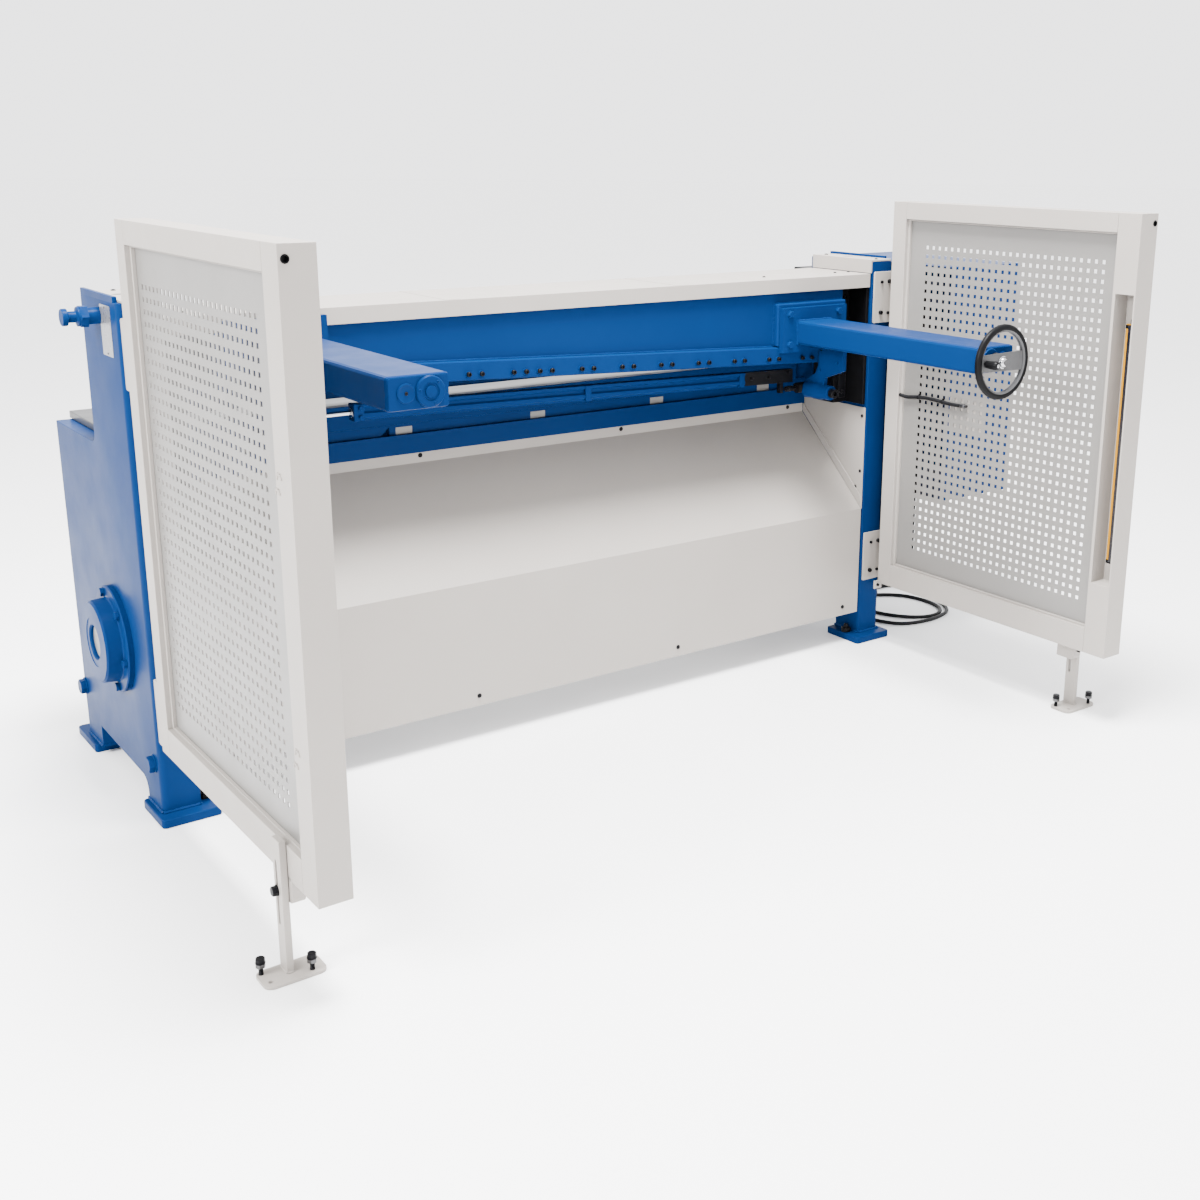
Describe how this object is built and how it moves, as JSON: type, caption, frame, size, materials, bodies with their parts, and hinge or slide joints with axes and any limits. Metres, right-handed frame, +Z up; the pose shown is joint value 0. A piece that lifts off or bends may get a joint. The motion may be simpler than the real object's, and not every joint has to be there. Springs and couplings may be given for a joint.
{
  "type": "guillotine shear",
  "caption": "Floor-standing motor-driven guillotine shear for sheet metal, seen from its rear, with a raked ram, manual back gauge, scrap chute and perforated side guards.",
  "frame": {"origin": "middle of the footprint on the floor, without the supply cable", "axes": "+Z up, -Y towards the rear where the cut pieces come out, +X towards the drive side"},
  "size_m": [2.8386, 1.59, 1.38],
  "materials": {
    "blue_paint": "satin enamel",
    "warm_white_paint": "fine textured powder coat",
    "machined_steel": "ground steel",
    "chromed_steel": "polished chrome",
    "black_plastic": "black moulded plastic",
    "blackened_steel": "black oxide and dark paint",
    "yellow_housing": "yellow anodised profile",
    "cable_rubber": "black cable sheath"
  },
  "bodies": {
    "machine": {"left_side_frame": "blue_paint", "left_top_cap": "warm_white_paint", "left_flange_bearing": "blue_paint", "left_chute_cheek": "warm_white_paint", "left_guard_frame": "warm_white_paint", "left_guard_sheet": "warm_white_paint", "left_light_curtain": "yellow_housing", "right_side_frame": "blue_paint", "right_top_cap": "warm_white_paint", "right_flange_bearing": "blue_paint", "right_chute_cheek": "warm_white_paint", "right_guard_frame": "warm_white_paint", "right_guard_sheet": "warm_white_paint", "right_light_curtain": "yellow_housing", "left_lifting_pin": "blue_paint", "ram_top_cover": "warm_white_paint", "table_top": "machined_steel", "table_rear_plate": "blue_paint", "table_front_plate": "blue_paint", "lower_blade": "machined_steel", "scrap_chute": "warm_white_paint", "hold_down_beam": "blue_paint", "belt_guard": "blackened_steel", "motor_cover": "blue_paint", "drive_motor": "blackened_steel", "drive_belt": "cable_rubber", "supply_cable": "cable_rubber", "supply_gland": "black_plastic", "supply_plug": "black_plastic", "curtain_cable": "cable_rubber"},
    "ram": {"ram_beam": "blue_paint", "blade_holder_bar": "blue_paint", "upper_blade": "machined_steel", "left_pull_yoke": "machined_steel", "right_pull_yoke": "machined_steel", "left_arm_pad": "blue_paint", "right_arm_pad": "blue_paint", "left_gauge_arm": "blue_paint", "right_gauge_arm": "blue_paint", "left_guide_rod": "chromed_steel", "right_guide_rod": "chromed_steel", "left_screw_bearing": "blue_paint", "right_screw_bearing": "blue_paint"},
    "eccentric": {"eccentric_shaft": "machined_steel"},
    "handwheel": {"handwheel": "black_plastic", "right_lead_screw": "machined_steel"},
    "grip": {"handwheel_grip": "black_plastic"},
    "left_screw": {"left_lead_screw": "machined_steel"},
    "sync": {"sync_shaft": "machined_steel"},
    "gauge": {"left_carriage": "blue_paint", "right_carriage": "blue_paint", "fence_bar": "blue_paint", "fence_end_plate": "blackened_steel", "right_fence_link": "chromed_steel", "left_fence_rod": "chromed_steel"},
    "hold_down": {"hold_down_bar": "blue_paint"},
    "flywheel": {"flywheel": "blackened_steel"},
    "pulley": {"motor_pulley": "machined_steel"},
    "left_leg": {"left_guard_leg": "warm_white_paint"},
    "right_leg": {"right_guard_leg": "warm_white_paint"}
  },
  "joints": [
    {"name": "eccentric_turn", "type": "hinge", "parent": "machine", "child": "eccentric", "pos_m": [-0.16625, 0.375, 0.385], "axis": [1, 0, 0], "range_deg": [0, 180]},
    {"name": "ram_stroke", "type": "slide", "parent": "machine", "child": "ram", "axis": [0, 0, -1], "range_m": [0, 0.0961]},
    {"name": "handwheel_turn", "type": "hinge", "parent": "ram", "child": "handwheel", "pos_m": [0.62375, -0.628, 1.01164], "axis": [0, -1, 0], "range_deg": [0, 8100]},
    {"name": "grip_spin", "type": "hinge", "parent": "handwheel", "child": "grip", "pos_m": [0.56175, -0.628, 1.01164], "axis": [0, -1, 0], "continuous": true},
    {"name": "left_screw_turn", "type": "hinge", "parent": "ram", "child": "left_screw", "pos_m": [-0.95625, 0.13, 1.07977], "axis": [0, -1, 0], "range_deg": [0, 8100]},
    {"name": "sync_turn", "type": "hinge", "parent": "ram", "child": "sync", "pos_m": [-0.16625, 0.216, 1.0457], "axis": [0.9991, 0, -0.0431], "range_deg": [0, 8100]},
    {"name": "gauge_travel", "type": "slide", "parent": "ram", "child": "gauge", "axis": [0, -1, 0], "range_m": [0, 0.4501]},
    {"name": "hold_down_press", "type": "slide", "parent": "machine", "child": "hold_down", "axis": [0, 0, -1], "range_m": [0, 0.014], "stiffness_N_per_m": 24000, "springref_m": -0.04},
    {"name": "flywheel_spin", "type": "hinge", "parent": "machine", "child": "flywheel", "pos_m": [1.05475, 0.375, 0.385], "axis": [1, 0, 0], "continuous": true},
    {"name": "pulley_spin", "type": "hinge", "parent": "machine", "child": "pulley", "pos_m": [1.05475, 0.33, 0.9], "axis": [1, 0, 0], "continuous": true},
    {"name": "left_leg_height", "type": "slide", "parent": "machine", "child": "left_leg", "axis": [0, 0, 1], "range_m": [0, 0.05]},
    {"name": "right_leg_height", "type": "slide", "parent": "machine", "child": "right_leg", "axis": [0, 0, 1], "range_m": [0, 0.05]}
  ],
  "couplings": [
    {"joint": "ram_stroke", "follows": "eccentric_turn", "m_per_rad": 0.030558},
    {"joint": "gauge_travel", "follows": "handwheel_turn", "m_per_rad": 0.0031831},
    {"joint": "left_screw_turn", "follows": "handwheel_turn", "ratio": 1},
    {"joint": "sync_turn", "follows": "handwheel_turn", "ratio": 1},
    {"joint": "pulley_spin", "follows": "flywheel_spin", "ratio": 4.375}
  ]
}
